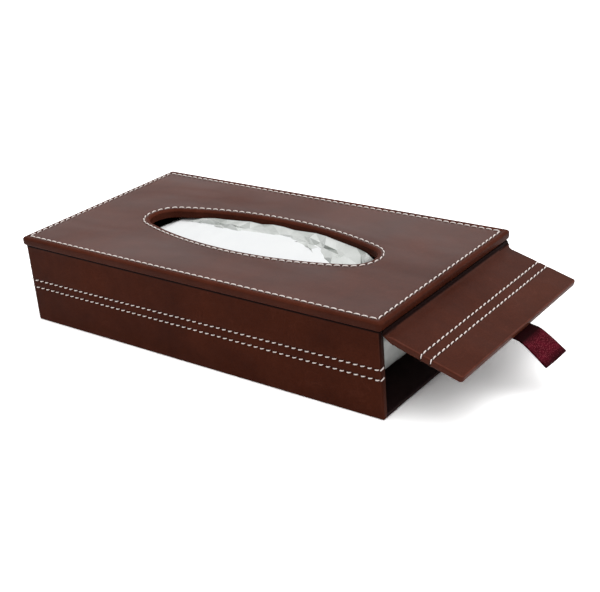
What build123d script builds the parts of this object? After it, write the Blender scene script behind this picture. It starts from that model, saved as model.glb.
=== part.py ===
from build123d import *
import os
from math import cos, radians, sin

os.makedirs("parts", exist_ok=True)

# A leather-covered tissue box, in millimetres. X runs along the box, from its closed end at -X to its
# mouth at +X. Y runs from the front (-Y) to the back, and Z is up. The origin is the middle of the
# face that the box stands on. The mouth is shut by a flap that hangs on a leather hinge.

# ---------------------------------------------------------------- driving dimensions

# Whole box, over the leather
box_length = 240.0
box_width = 126.0
box_height = 52.0

# Sheet stock
leather = 0.6
lining_cloth = 0.3
wall_board = 1.7
floor_card = 1.4
base_felt = 0.8
film = 0.3
steel = 0.8

# Leather work
turn_in = 10.0  # how far the leather folds over the back of a free edge
wall_corner = 2.0  # upright corners of the closed end, over the leather
foot_clearance = 0.2  # leather under the walls stays this far off the table
felt_border = 12.0  # leather that shows round the felt, under the box
felt_mouth_inset = 1.0

# Top panel
panel_thickness = 5.1
panel_overhang = 1.4
panel_corner = 3.0
panel_round = 2.45  # rounding along the panel's top and bottom edges
panel_board_ease = 1.1  # bevel of the board under that rounding

# Oval opening
opening_length = 152.0
opening_width = 46.0
opening_end_radius = 12.0
opening_x = 1.0
opening_y = -1.5
opening_roll = 2.0  # leather rolls over the rim
opening_board_ease = 0.8
opening_turn_in = 8.0

# Flap, as it stands open
flap_slope = 16.3  # degrees below the horizontal
flap_thickness = 3.6
flap_side_gap = 0.3
flap_floor_gap = 0.8
flap_corner = 3.0
flap_round = 1.4
flap_board_ease = 0.45
hinge_overhang = 1.04  # the hinge line lies this far outside the shut flap's face
hinge_drop = 1.6  # and this far under the top panel
hinge_free = 6.5  # bare leather between the hinge line and the flap's board
hinge_lap = 10.0  # leather glued under the top panel
hinge_shoulder = 1.4
hinge_fold = 1.6

# Magnetic catch
magnet_length = 20.0
magnet_width = 3.0
magnet_thickness = 1.8
keeper_length = 24.0
keeper_width = 4.0
catch_spacing = 80.0
keeper_inset = 0.5

# Pull ribbon
ribbon_width = 18.0
ribbon_cloth = 0.3
ribbon_loop_gap = 0.5
ribbon_tail_length = 9.0
ribbon_clearance = 0.1
ribbon_shoulder = 4.8
ribbon_shoulder_fall = 2.0  # degrees below the horizontal
ribbon_hang = 17.6
ribbon_hang_fall = 38.0  # degrees below the horizontal
ribbon_bend = 11.0

# Tissue pack
pack_length = 200.0
pack_mouth_setback = 10.0
pack_side_gap = 4.1
pack_top_gap = 4.9
pack_end_crease = 15.5  # height of the crease along each end
pack_top_slope = 20.0  # rounded part of each end, along the top
pack_bottom_slope = 12.0
pack_slit_length = 132.0
pack_slit_width = 12.0
stack_end_gap = 20.5
stack_side_gap = 3.0
stack_top_gap = 0.6
stack_edge_round = 4.0
tissue_tuft_length = 128.0
tissue_tuft_width = 36.0
tissue_tuft_height = 3.4
tissue_tuft_end_radius = 9.0
tissue_tuft_bevel = 2.4
tissue_neck_gap = 1.5

# ---------------------------------------------------------------- levels and faces shared by the pieces

floor_bottom = base_felt
floor_board_top = floor_bottom + floor_card
floor_top = floor_board_top + lining_cloth
panel_bottom = box_height - panel_thickness
wall_board_top = panel_bottom - leather

mouth_x = box_length / 2
board_end_x = box_length / 2 - leather
board_outer_y = box_width / 2 - leather
board_inner_y = board_outer_y - wall_board
end_board_outer_x = -box_length / 2 + leather
end_board_inner_x = end_board_outer_x + wall_board
wall_back_y = board_inner_y - leather  # inner face of the leather folded inside
wall_back_x = end_board_inner_x + leather
wall_line_y = board_inner_y - lining_cloth
wall_line_x = end_board_inner_x + lining_cloth

hinge_x = mouth_x + hinge_overhang
hinge_z = panel_bottom - hinge_drop
flap_width = 2 * (wall_back_y - flap_side_gap)
flap_reach = hinge_z - floor_top - flap_floor_gap
fall = radians(flap_slope)
flap_plane = Plane(
    origin=(hinge_x - hinge_overhang * sin(fall), 0, hinge_z - hinge_overhang * cos(fall)),
    x_dir=(cos(fall), 0, -sin(fall)),
    z_dir=(sin(fall), 0, cos(fall)),
)
flap_along = Axis(flap_plane.origin, flap_plane.x_dir)
flap_outward = Axis(flap_plane.origin, flap_plane.z_dir)
flap_board_start = hinge_free + lining_cloth
flap_board_tip = flap_reach - leather
flap_board_thickness = flap_thickness - 2 * leather


def keep(builder, name):
    """Labels a finished piece and writes it under its name."""
    builder.part.label = name
    export_step(builder.part, f"parts/{name}.step")


def oval(length, width, end_radius):
    """A four-centre oval: a long, flat arc on each side and a tight one at each end."""
    end_centre_x = length / 2 - end_radius
    side_radius = (end_centre_x**2 + (width / 2) ** 2 - end_radius**2) / (width - 2 * end_radius)
    side_centre_y = side_radius - width / 2
    reach = side_radius / (side_radius - end_radius)
    join_x = end_centre_x * reach
    join_y = side_centre_y * (reach - 1)
    with BuildSketch(mode=Mode.PRIVATE) as outline:
        with BuildLine():
            ThreePointArc((-join_x, join_y), (0, width / 2), (join_x, join_y))
            ThreePointArc((join_x, join_y), (length / 2, 0), (join_x, -join_y))
            ThreePointArc((join_x, -join_y), (0, -width / 2), (-join_x, -join_y))
            ThreePointArc((-join_x, -join_y), (-length / 2, 0), (-join_x, join_y))
        make_face()
    return outline.sketch


def opening_oval(margin):
    """The oval of the top panel, margin wider all round than the finished opening."""
    return oval(opening_length + 2 * margin, opening_width + 2 * margin, opening_end_radius + margin)


# ---------------------------------------------------------------- bottom

# Felt glued under the floor, just proud of the leather, so that the box stands on it.
with BuildPart() as base_pad:
    pad_length = box_length - felt_border - felt_mouth_inset
    with BuildSketch():
        with Locations(((felt_border - felt_mouth_inset) / 2, 0)):
            Rectangle(pad_length, box_width - 2 * felt_border)
    extrude(amount=base_felt)
keep(base_pad, "base_pad")

# Steel strips let into the floor at the mouth, which the flap's magnets draw to.
keeper_x = board_end_x - keeper_inset - keeper_width / 2
with BuildPart() as keeper_plates:
    with BuildSketch(Plane.XY.offset(floor_board_top - steel)):
        with Locations((keeper_x, -catch_spacing / 2), (keeper_x, catch_spacing / 2)):
            Rectangle(keeper_width, keeper_length)
    extrude(amount=steel)
keep(keeper_plates, "keeper_plates")

# Floor board, between the wall boards.
floor_board_end_x = mouth_x - lining_cloth
with BuildPart() as floor_board:
    with BuildSketch(Plane.XY.offset(floor_bottom)):
        with Locations(((end_board_inner_x + floor_board_end_x) / 2, 0)):
            Rectangle(floor_board_end_x - end_board_inner_x, 2 * board_inner_y)
    extrude(amount=floor_card)
    add(keeper_plates.part, mode=Mode.SUBTRACT)
keep(floor_board, "floor_board")

# Lining cloth on the floor, which turns down over the floor's edge at the mouth.
with BuildPart() as floor_lining:
    with BuildSketch(Plane.XZ):
        with BuildLine():
            Polyline(
                (wall_line_x, floor_board_top),
                (wall_line_x, floor_top),
                (mouth_x, floor_top),
                (mouth_x, floor_bottom),
                (floor_board_end_x, floor_bottom),
                (floor_board_end_x, floor_board_top),
                close=True,
            )
        make_face()
    extrude(amount=wall_back_y, both=True)
    fillet(edges().group_by(Axis.Z)[-1].sort_by(Axis.X)[-1], radius=lining_cloth * 0.9)
keep(floor_lining, "floor_lining")

# ---------------------------------------------------------------- walls

wall_boards = []
side_board_middle_x = (end_board_outer_x + board_end_x) / 2
side_board_middle_y = (board_outer_y + board_inner_y) / 2

# The two long wall boards, rounded where the leather turns round the closed end.
for side, name in ((-1, "front_wall_board"), (1, "back_wall_board")):
    with BuildPart() as side_board:
        with BuildSketch(Plane.XY.offset(floor_bottom)):
            with Locations((side_board_middle_x, side * side_board_middle_y)):
                Rectangle(board_end_x - end_board_outer_x, wall_board)
        extrude(amount=wall_board_top - floor_bottom)
        closed_end_edges = edges().filter_by(Axis.Z).group_by(Axis.X)[0]
        fillet(closed_end_edges.sort_by(Axis.Y)[0 if side < 0 else -1], radius=wall_corner - leather)
    keep(side_board, name)
    wall_boards.append(side_board.part)

# The short wall board, between the long ones.
with BuildPart() as end_wall_board:
    with BuildSketch(Plane.XY.offset(floor_bottom)):
        with Locations(((end_board_outer_x + end_board_inner_x) / 2, 0)):
            Rectangle(wall_board, 2 * board_inner_y)
    extrude(amount=wall_board_top - floor_bottom)
keep(end_wall_board, "end_wall_board")
wall_boards.append(end_wall_board.part)

# One strip of leather round the three walls. It folds over their top edges, round their ends at the
# mouth and under the floor, with its folded margins glued down.
with BuildPart() as wall_leather:
    with BuildSketch(Plane.XY.offset(foot_clearance)):
        Rectangle(box_length, box_width)
    extrude(amount=panel_bottom - foot_clearance)
    fillet(edges().filter_by(Axis.Z).group_by(Axis.X)[0], radius=wall_corner)
    fillet(edges().filter_by(Axis.Z).group_by(Axis.X)[-1], radius=leather)
    fillet(faces().sort_by(Axis.Z)[-1].edges() + faces().sort_by(Axis.Z)[0].edges(), radius=leather * 0.9)
    # the space between the walls, open at the mouth
    with BuildSketch(Plane.XY.offset(floor_board_top)):
        with Locations(((wall_back_x + mouth_x) / 2 + leather, 0)):
            Rectangle(mouth_x - wall_back_x + 2 * leather, 2 * wall_back_y)
    extrude(amount=box_height, mode=Mode.SUBTRACT)
    # bare board under the lining, below the fold
    with BuildSketch(Plane.XY.offset(floor_board_top)):
        with Locations(((end_board_inner_x + mouth_x - turn_in) / 2, 0)):
            Rectangle(mouth_x - turn_in - end_board_inner_x, 2 * board_inner_y)
    extrude(amount=panel_bottom - turn_in - floor_board_top, mode=Mode.SUBTRACT)
    # the floor and its felt
    with BuildSketch(Plane.XY.offset(floor_bottom)):
        with Locations(((end_board_inner_x + mouth_x) / 2 + leather, 0)):
            Rectangle(mouth_x - end_board_inner_x + 2 * leather, 2 * board_inner_y)
    extrude(amount=floor_card, mode=Mode.SUBTRACT)
    with BuildSketch():
        with Locations((felt_border / 2 + leather, 0)):
            Rectangle(box_length - felt_border + 2 * leather, box_width - 2 * felt_border)
    extrude(amount=floor_bottom, mode=Mode.SUBTRACT)
    add(wall_boards, mode=Mode.SUBTRACT)
keep(wall_leather, "wall_leather")

# Lining cloth on the inside of the three walls, from the floor up to the folded leather.
with BuildPart() as wall_lining:
    with BuildSketch(Plane.XY.offset(floor_board_top)):
        with BuildLine():
            Polyline(
                (mouth_x - turn_in, -board_inner_y),
                (end_board_inner_x, -board_inner_y),
                (end_board_inner_x, board_inner_y),
                (mouth_x - turn_in, board_inner_y),
                (mouth_x - turn_in, wall_line_y),
                (wall_line_x, wall_line_y),
                (wall_line_x, -wall_line_y),
                (mouth_x - turn_in, -wall_line_y),
                close=True,
            )
        make_face()
    extrude(amount=panel_bottom - turn_in - floor_board_top)
keep(wall_lining, "wall_lining")

# ---------------------------------------------------------------- top panel

panel_length = box_length + 2 * panel_overhang
panel_width = box_width + 2 * panel_overhang
opening_middle = (opening_x, opening_y)

# Board of the top panel, with the oval cut out of it.
with BuildPart() as top_board:
    with BuildSketch(Plane.XY.offset(panel_bottom + leather)):
        RectangleRounded(panel_length - 2 * leather, panel_width - 2 * leather, panel_corner - leather)
    extrude(amount=panel_thickness - 2 * leather)
    chamfer(
        faces().sort_by(Axis.Z)[0].edges() + faces().sort_by(Axis.Z)[-1].edges(),
        length=panel_board_ease,
    )
    with BuildSketch(Plane.XY.offset(panel_bottom)):
        with Locations(opening_middle):
            add(opening_oval(leather))
    extrude(amount=panel_thickness, mode=Mode.SUBTRACT)
    chamfer(faces().sort_by(Axis.Z)[-1].inner_wires()[0].edges(), length=opening_board_ease)
keep(top_board, "top_board")

# Leather drawn over the top panel. It rolls over the outer edge and down through the oval, and its
# folded margins are glued to the underside.
with BuildPart() as top_leather:
    with BuildSketch(Plane.XY.offset(panel_bottom)):
        RectangleRounded(panel_length, panel_width, panel_corner)
    extrude(amount=panel_thickness)
    fillet(faces().sort_by(Axis.Z)[0].edges() + faces().sort_by(Axis.Z)[-1].edges(), radius=panel_round)
    with BuildSketch(Plane.XY.offset(panel_bottom)):
        with Locations(opening_middle):
            add(opening_oval(0))
    extrude(amount=panel_thickness, mode=Mode.SUBTRACT)
    fillet(faces().sort_by(Axis.Z)[-1].inner_wires()[0].edges(), radius=opening_roll)
    fillet(faces().sort_by(Axis.Z)[0].inner_wires()[0].edges(), radius=leather)
    with BuildSketch(Plane.XY.offset(panel_bottom)):
        Rectangle(panel_length - 2 * turn_in, panel_width - 2 * turn_in)
        with Locations(opening_middle):
            add(opening_oval(opening_turn_in), mode=Mode.SUBTRACT)
    extrude(amount=leather, mode=Mode.SUBTRACT)
    add(top_board.part, mode=Mode.SUBTRACT)
keep(top_leather, "top_leather")

# Lining cloth on the underside of the top panel, between the folded margins.
with BuildPart() as top_lining:
    with BuildSketch(Plane.XY.offset(panel_bottom + leather - lining_cloth)):
        Rectangle(panel_length - 2 * turn_in, panel_width - 2 * turn_in)
        with Locations(opening_middle):
            add(opening_oval(opening_turn_in), mode=Mode.SUBTRACT)
    extrude(amount=lining_cloth)
keep(top_lining, "top_lining")

# ---------------------------------------------------------------- hinge

# Leather hinge, glued under the top panel. It drops over the mouth and runs on into the flap's face.
# Its path is the leather's outer face.
hinge_knee = flap_plane.from_local_coords((0, 0, 0)) + Vector(
    hinge_overhang * sin(fall), 0, -hinge_overhang * sin(fall) ** 2 / cos(fall)
)
hinge_end = flap_plane.from_local_coords((hinge_free, 0, 0))
with BuildPart() as hinge_leather:
    with BuildSketch(Plane.XZ):
        with BuildLine():
            hinge_face = FilletPolyline(
                (mouth_x - hinge_lap, panel_bottom),
                (hinge_x, panel_bottom),
                (hinge_knee.X, hinge_knee.Z),
                (hinge_end.X, hinge_end.Z),
                radius=[hinge_shoulder, hinge_fold],
            )
            offset(hinge_face, amount=leather, side=Side.RIGHT)
        make_face()
    extrude(amount=flap_width / 2, both=True)
keep(hinge_leather, "hinge_leather")

# ---------------------------------------------------------------- flap

# Bar magnets in the flap's outer edge.
magnet_along = flap_board_tip - magnet_width / 2
with BuildPart() as flap_magnets:
    with BuildSketch(flap_plane.offset(-leather)):
        with Locations((magnet_along, -catch_spacing / 2), (magnet_along, catch_spacing / 2)):
            Rectangle(magnet_width, magnet_length)
    extrude(amount=-magnet_thickness)
keep(flap_magnets, "flap_magnets")

# Board of the flap, notched for the magnets.
with BuildPart() as flap_board:
    with BuildSketch(flap_plane.offset(-leather)):
        with Locations(((flap_board_start + flap_board_tip) / 2, 0)):
            Rectangle(flap_board_tip - flap_board_start, flap_width - 2 * leather)
    extrude(amount=-flap_board_thickness)
    fillet(edges().filter_by(flap_outward).group_by(flap_along)[-1], radius=flap_corner - leather)
    tip_edges = [
        edge
        for face in (faces().sort_by(flap_outward)[0], faces().sort_by(flap_outward)[-1])
        for edge in face.edges().sort_by(flap_along)[1:]
    ]
    chamfer(tip_edges, length=flap_board_ease)
    add(flap_magnets.part, mode=Mode.SUBTRACT)
keep(flap_board, "flap_board")

# Leather over the flap, folded round its sides and its outer edge.
with BuildPart() as flap_leather:
    with BuildSketch(flap_plane):
        with Locations(((hinge_free + flap_reach) / 2, 0)):
            Rectangle(flap_reach - hinge_free, flap_width)
    extrude(amount=-flap_thickness)
    fillet(edges().filter_by(flap_outward).group_by(flap_along)[-1], radius=flap_corner)
    rim_edges = [
        edge
        for face in (faces().sort_by(flap_outward)[0], faces().sort_by(flap_outward)[-1])
        for edge in face.edges().sort_by(flap_along)[1:]
    ]
    fillet(rim_edges, radius=flap_round)
    # board and magnets inside, lining cloth on the back
    add([flap_board.part, flap_magnets.part], mode=Mode.SUBTRACT)
    with BuildSketch(flap_plane.offset(leather - flap_thickness)):
        with Locations(((hinge_free + flap_reach - turn_in) / 2, 0)):
            Rectangle(flap_reach - turn_in - hinge_free, flap_width - 2 * turn_in)
    extrude(amount=-leather, mode=Mode.SUBTRACT)
    with BuildSketch(flap_plane.offset(-leather)):
        with Locations((hinge_free + lining_cloth / 2, 0)):
            Rectangle(lining_cloth, flap_width - 2 * leather)
    extrude(amount=-flap_board_thickness, mode=Mode.SUBTRACT)
keep(flap_leather, "flap_leather")

# Lining cloth on the back of the flap, turned up over the board's edge at the hinge.
with BuildPart() as flap_lining:
    with BuildSketch(flap_plane.offset(leather - flap_thickness)):
        with Locations(((hinge_free + flap_reach - turn_in) / 2, 0)):
            Rectangle(flap_reach - turn_in - hinge_free, flap_width - 2 * turn_in)
    extrude(amount=-lining_cloth)
    with BuildSketch(flap_plane.offset(-leather)):
        with Locations((hinge_free + lining_cloth / 2, 0)):
            Rectangle(lining_cloth, flap_width - 2 * leather)
    extrude(amount=-flap_board_thickness)
keep(flap_lining, "flap_lining")

# ---------------------------------------------------------------- pull ribbon

# The ribbon's two ends, glued flat to the back of the flap.
ribbon_root_along = flap_reach - flap_round
ribbon_tail_thickness = 2 * ribbon_cloth
with BuildPart() as ribbon_tail:
    with BuildSketch(flap_plane.offset(-flap_thickness)):
        with Locations((ribbon_root_along - ribbon_tail_length / 2, 0)):
            Rectangle(ribbon_tail_length, ribbon_width)
    extrude(amount=-ribbon_tail_thickness)
keep(ribbon_tail, "ribbon_tail")

# The free loop of the ribbon, which hangs from the flap's outer edge: two plies and the fold that
# joins them.
loop_thickness = 2 * ribbon_cloth + ribbon_loop_gap
loop_offset = loop_thickness / 2 + ribbon_clearance
loop_root = flap_plane.from_local_coords((ribbon_root_along + loop_offset, 0, -flap_thickness - loop_offset))
shoulder_fall = radians(ribbon_shoulder_fall)
hang_fall = radians(ribbon_hang_fall)
loop_shoulder = loop_root + Vector(cos(shoulder_fall), 0, -sin(shoulder_fall)) * ribbon_shoulder
loop_tip = loop_shoulder + Vector(cos(hang_fall), 0, -sin(hang_fall)) * ribbon_hang
with BuildPart() as pull_ribbon:
    with BuildSketch(Plane.XZ):
        with BuildLine(mode=Mode.PRIVATE) as loop_line:
            FilletPolyline(
                (loop_root.X, loop_root.Z),
                (loop_shoulder.X, loop_shoulder.Z),
                (loop_tip.X, loop_tip.Z),
                radius=ribbon_bend,
            )
        SlotArc(loop_line.wire(), loop_thickness)
        SlotArc(loop_line.wire(), ribbon_loop_gap, mode=Mode.SUBTRACT)
    extrude(amount=ribbon_width / 2, both=True)
keep(pull_ribbon, "pull_ribbon")

# ---------------------------------------------------------------- tissue pack

pack_end_x = mouth_x - pack_mouth_setback
pack_start_x = pack_end_x - pack_length
pack_middle_x = (pack_start_x + pack_end_x) / 2
pack_top = panel_bottom - pack_top_gap
pack_height = pack_top - floor_top
pack_width = 2 * (wall_back_y - pack_side_gap)
pack_crease_z = floor_top + pack_end_crease

# Film wrapper of the pack: a pillow with a crease across each rounded end, slit along its top.
with BuildPart() as film_wrapper:
    for inset, mode in ((0, Mode.ADD), (film, Mode.SUBTRACT)):
        with BuildSketch(Plane.XZ):
            with BuildLine():
                top_end = (pack_end_x - pack_top_slope, pack_top - inset)
                crease = (pack_end_x - inset, pack_crease_z)
                bottom_end = (pack_end_x - pack_bottom_slope, floor_top + inset)
                Line((pack_middle_x, pack_top - inset), top_end)
                TangentArc(top_end, crease, tangent=(1, 0))
                TangentArc(bottom_end, crease, tangent=(1, 0))
                Line(bottom_end, (pack_middle_x, floor_top + inset))
                Line((pack_middle_x, floor_top + inset), (pack_middle_x, pack_top - inset))
            make_face()
            mirror(about=Plane.YZ.offset(pack_middle_x))
        extrude(amount=pack_width / 2 - inset, both=True, mode=mode)
    with BuildSketch(Plane.XY.offset(pack_top - 2 * film)):
        with Locations(opening_middle):
            SlotOverall(pack_slit_length, pack_slit_width)
    extrude(amount=3 * film, mode=Mode.SUBTRACT)
keep(film_wrapper, "film_wrapper")

# The folded tissues inside the wrapper.
with BuildPart() as tissue_stack:
    with BuildSketch(Plane.XY.offset(floor_top + film)):
        with Locations((pack_middle_x, 0)):
            RectangleRounded(
                pack_length - 2 * stack_end_gap, pack_width - 2 * stack_side_gap, stack_edge_round
            )
    extrude(amount=pack_height - 2 * film - stack_top_gap)
keep(tissue_stack, "tissue_stack")

# The uppermost tissue, drawn up through the slit and spread under the oval.
with BuildPart() as loose_tissue:
    with BuildSketch(Plane.XY.offset(pack_top)):
        with Locations(opening_middle):
            add(oval(tissue_tuft_length, tissue_tuft_width, tissue_tuft_end_radius))
    extrude(amount=tissue_tuft_height)
    chamfer(faces().sort_by(Axis.Z)[-1].edges(), length=tissue_tuft_bevel)
    with BuildSketch(Plane.XY.offset(pack_top - film - stack_top_gap)):
        with Locations(opening_middle):
            SlotOverall(pack_slit_length - 2 * tissue_neck_gap, pack_slit_width - 2 * tissue_neck_gap)
    extrude(amount=film + stack_top_gap)
keep(loose_tissue, "loose_tissue")
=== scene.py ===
from math import asin, atan2, cos, exp, hypot, pi, radians, sin, sqrt

import bmesh
import bpy
from mathutils import Matrix, Vector, noise
from mathutils.geometry import interpolate_bezier


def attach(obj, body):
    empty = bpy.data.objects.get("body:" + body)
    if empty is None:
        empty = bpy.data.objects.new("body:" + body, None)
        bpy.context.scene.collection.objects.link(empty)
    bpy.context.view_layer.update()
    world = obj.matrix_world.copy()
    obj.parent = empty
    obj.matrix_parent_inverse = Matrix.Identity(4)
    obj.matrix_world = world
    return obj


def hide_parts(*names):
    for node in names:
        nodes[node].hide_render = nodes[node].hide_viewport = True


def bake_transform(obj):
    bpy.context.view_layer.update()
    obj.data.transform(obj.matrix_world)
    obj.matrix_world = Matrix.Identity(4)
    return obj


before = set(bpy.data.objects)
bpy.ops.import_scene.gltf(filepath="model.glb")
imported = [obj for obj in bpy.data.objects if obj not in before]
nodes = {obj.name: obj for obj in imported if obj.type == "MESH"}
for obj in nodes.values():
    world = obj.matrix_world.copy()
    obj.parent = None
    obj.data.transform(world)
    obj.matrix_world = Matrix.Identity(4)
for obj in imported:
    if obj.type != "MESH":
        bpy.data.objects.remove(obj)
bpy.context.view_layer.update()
scene = bpy.context.scene
scene.view_settings.view_transform = "Standard"

# Lengths below are millimetres; a mesh goes to metres when its piece is finished.
MM = 0.001

# ---------------------------------------------------------------- studio
# A white paper sweep under broad, soft light, some of it from above and more from the mouth's side. The
# camera stands where the photograph was taken: to the right of the front, looking down on the box.


def add_node(tree, kind, inputs=None, **settings):
    """A shader node with its settings made, and its inputs set or linked."""
    made = tree.nodes.new(kind)
    for name, value in settings.items():
        setattr(made, name, value)
    for name, value in (inputs or {}).items():
        socket = made.inputs[name]
        if isinstance(value, bpy.types.NodeSocket):
            tree.links.new(value, socket)
        else:
            socket.default_value = value
    return made


def maths(tree, operation, *values):
    """The result of a Math node."""
    return add_node(tree, "ShaderNodeMath", dict(enumerate(values)), operation=operation).outputs[0]


def mixed(tree, factor, first, second, blend="MIX"):
    """The colour of a colour mix."""
    inputs = {"Fac": factor, "Color1": first, "Color2": second}
    return add_node(tree, "ShaderNodeMixRGB", inputs, blend_type=blend).outputs[0]


def spread(tree, value, low, high, to_low=0.0, to_high=1.0):
    """A value taken from one range to another, and kept in it."""
    inputs = {"Value": value, "From Min": low, "From Max": high, "To Min": to_low, "To Max": to_high}
    return add_node(tree, "ShaderNodeMapRange", inputs).outputs[0]


def start_material(name):
    """An empty material and its tree."""
    made = bpy.data.materials.new(name)
    made.use_nodes = True
    made.node_tree.nodes.clear()
    return made, made.node_tree


def seen_directly(tree):
    """1 for the rays that show the background: from the camera, in a gloss or through glass."""
    path = add_node(tree, "ShaderNodeLightPath").outputs
    either = maths(tree, "MAXIMUM", path["Is Camera Ray"], path["Is Glossy Ray"])
    return maths(tree, "MAXIMUM", either, path["Is Transmission Ray"])


camera = bpy.data.objects.new("camera", bpy.data.cameras.new("camera"))
camera.data.lens = 69.05
camera.data.sensor_width = 36
camera.data.clip_start = 0.01
camera_place = Vector((382.65, -452.82, 279.94)) * MM
camera_looks = Vector((-0.5636, 0.7160, -0.4120))
camera_level = Vector((0.7858, 0.6185, 0))
camera_roll = radians(4.66)
level_up = camera_level.cross(camera_looks)
camera_right = camera_level * cos(camera_roll) - level_up * sin(camera_roll)
camera_up = camera_level * sin(camera_roll) + level_up * cos(camera_roll)
turned = Matrix((camera_right, camera_up, -camera_looks)).transposed().to_4x4()
camera.matrix_world = Matrix.Translation(camera_place) @ turned
scene.collection.objects.link(camera)
scene.camera = camera

sweep_size = 12  # metres
sweep_mesh = bmesh.new()
bmesh.ops.create_grid(sweep_mesh, x_segments=1, y_segments=1, size=sweep_size / 2)
sweep = bpy.data.objects.new("sweep", bpy.data.meshes.new("sweep"))
sweep_mesh.to_mesh(sweep.data)
scene.collection.objects.link(sweep)
sweep_paper, tree = start_material("sweep_paper")
paper_grey, paper_white = (0.78, 0.78, 0.78, 1), (1.95, 1.95, 1.95, 1)
shown = mixed(tree, seen_directly(tree), paper_grey, paper_white)
paper = add_node(tree, "ShaderNodeBsdfDiffuse", {"Color": shown})
add_node(tree, "ShaderNodeOutputMaterial", {"Surface": paper.outputs[0]})
sweep.data.materials.append(sweep_paper)

world_fill = 0.45
scene.world = bpy.data.worlds.new("studio")
scene.world.use_nodes = True
tree = scene.world.node_tree
tree.nodes.clear()
level = spread(tree, seen_directly(tree), 0.0, 1.0, world_fill, 1.0)
sky = add_node(tree, "ShaderNodeBackground", {"Color": (1, 1, 1, 1), "Strength": level})
add_node(tree, "ShaderNodeOutputWorld", {"Surface": sky.outputs[0]})


def add_sun(name, strength, spread_angle, azimuth, elevation):
    """A broad, far light. It stands at azimuth, turned from +X towards +Y, and elevation."""
    made = bpy.data.objects.new(name, bpy.data.lights.new(name, "SUN"))
    made.data.energy = strength
    made.data.angle = radians(spread_angle)
    flat = cos(radians(elevation))
    stands = Vector((cos(radians(azimuth)) * flat, sin(radians(azimuth)) * flat, sin(radians(elevation))))
    made.matrix_world = stands.to_track_quat("Z", "Y").to_matrix().to_4x4()
    scene.collection.objects.link(made)


add_sun("overhead_light", 0.4, 60, 150, 80)
add_sun("side_light", 1.5, 75, -10, 62)


def finish_piece(mesh, name, material, sharp=50, body=None, replaced=()):
    """Makes a mesh in millimetres a piece, which rides on its body and stands for CAD nodes."""
    bmesh.ops.scale(mesh, vec=(MM, MM, MM), verts=mesh.verts)
    piece = bpy.data.objects.new(name, bpy.data.meshes.new(name))
    mesh.to_mesh(piece.data)
    mesh.free()
    piece.data.shade_smooth()
    piece.data.set_sharp_from_angle(angle=radians(sharp))
    piece.data.materials.append(material)
    scene.collection.objects.link(piece)
    if body:
        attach(piece, body)
    if replaced:
        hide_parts(*replaced)
    return piece


def dress(name, material, sharp=None):
    """Gives a CAD node its finish, and soft shading if it has a sharpest angle that is rounded."""
    data = nodes[name].data
    data.materials.clear()
    data.materials.append(material)
    if sharp:
        data.shade_smooth()
        data.set_sharp_from_angle(angle=radians(sharp))


def start_group(name, inputs, outputs):
    """A shader node group from (name, kind, default) inputs and (name, kind) outputs."""
    made = bpy.data.node_groups.new(name, "ShaderNodeTree")
    for label, kind, default in inputs:
        socket = made.interface.new_socket(label, in_out="INPUT", socket_type="NodeSocket" + kind)
        socket.default_value = default
    for label, kind in outputs:
        made.interface.new_socket(label, in_out="OUTPUT", socket_type="NodeSocket" + kind)
    return made, made.nodes.new("NodeGroupInput").outputs, made.nodes.new("NodeGroupOutput").inputs


def place_group(tree, group, inputs):
    """The outputs of a node group placed in a material."""
    return add_node(tree, "ShaderNodeGroup", inputs, node_tree=group).outputs


def close_material(tree, colour, height=None, bump=0.3, distance=0.0002, **sockets):
    """The Principled shader with its colour, its bump and its other sockets, and the output."""
    inputs = {"Base Color": colour}
    if height is not None:
        bumped = add_node(tree, "ShaderNodeBump", {"Height": height, "Strength": bump, "Distance": distance})
        inputs["Normal"] = bumped.outputs[0]
    inputs.update({name.replace("_", " "): value for name, value in sockets.items()})
    shader = add_node(tree, "ShaderNodeBsdfPrincipled", inputs)
    add_node(tree, "ShaderNodeOutputMaterial", {"Surface": shader.outputs[0]})


def object_place(tree):
    """The place on the object, in metres."""
    return add_node(tree, "ShaderNodeTexCoord").outputs["Object"]


def mapped(tree, place, **values):
    """A place turned or scaled."""
    return add_node(tree, "ShaderNodeMapping", {"Vector": place, **values}).outputs[0]


def attribute(tree, name):
    """The value of a mesh attribute."""
    return add_node(tree, "ShaderNodeAttribute", attribute_name=name).outputs["Fac"]


def noise_value(tree, place, scale, **values):
    """The value of a Noise texture."""
    return add_node(tree, "ShaderNodeTexNoise", {"Vector": place, "Scale": scale, **values}).outputs[0]


def wave_value(tree, place, scale, direction="X", **values):
    """The value of a Wave texture whose bands cross the direction."""
    inputs = {"Vector": place, "Scale": scale, **values}
    return add_node(tree, "ShaderNodeTexWave", inputs, bands_direction=direction).outputs["Fac"]


# Woven cloth: warp and weft cross as fine ridges, and some threads are a little paler than others.
tree, given, out = start_group(
    "weave",
    [
        ("Colour", "Color", (0.5, 0.5, 0.5, 1)),
        ("Crown", "Color", (0.6, 0.6, 0.6, 1)),
        ("Threads", "Float", 1800.0),
    ],
    [("Colour", "Color"), ("Height", "Float")],
)
place = object_place(tree)
ridges = [wave_value(tree, place, given["Threads"], way, Distortion=0.6, Detail=1.0) for way in "XYZ"]
crossings = maths(tree, "MULTIPLY", ridges[0], ridges[1])
raised = maths(tree, "MAXIMUM", crossings, maths(tree, "MULTIPLY", ridges[2], 0.7))
paler = maths(tree, "MULTIPLY", raised, noise_value(tree, place, 260.0, Detail=3.0))
tree.links.new(mixed(tree, paler, given["Colour"], given["Crown"]), out["Colour"])
tree.links.new(raised, out["Height"])
weave = tree

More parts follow.
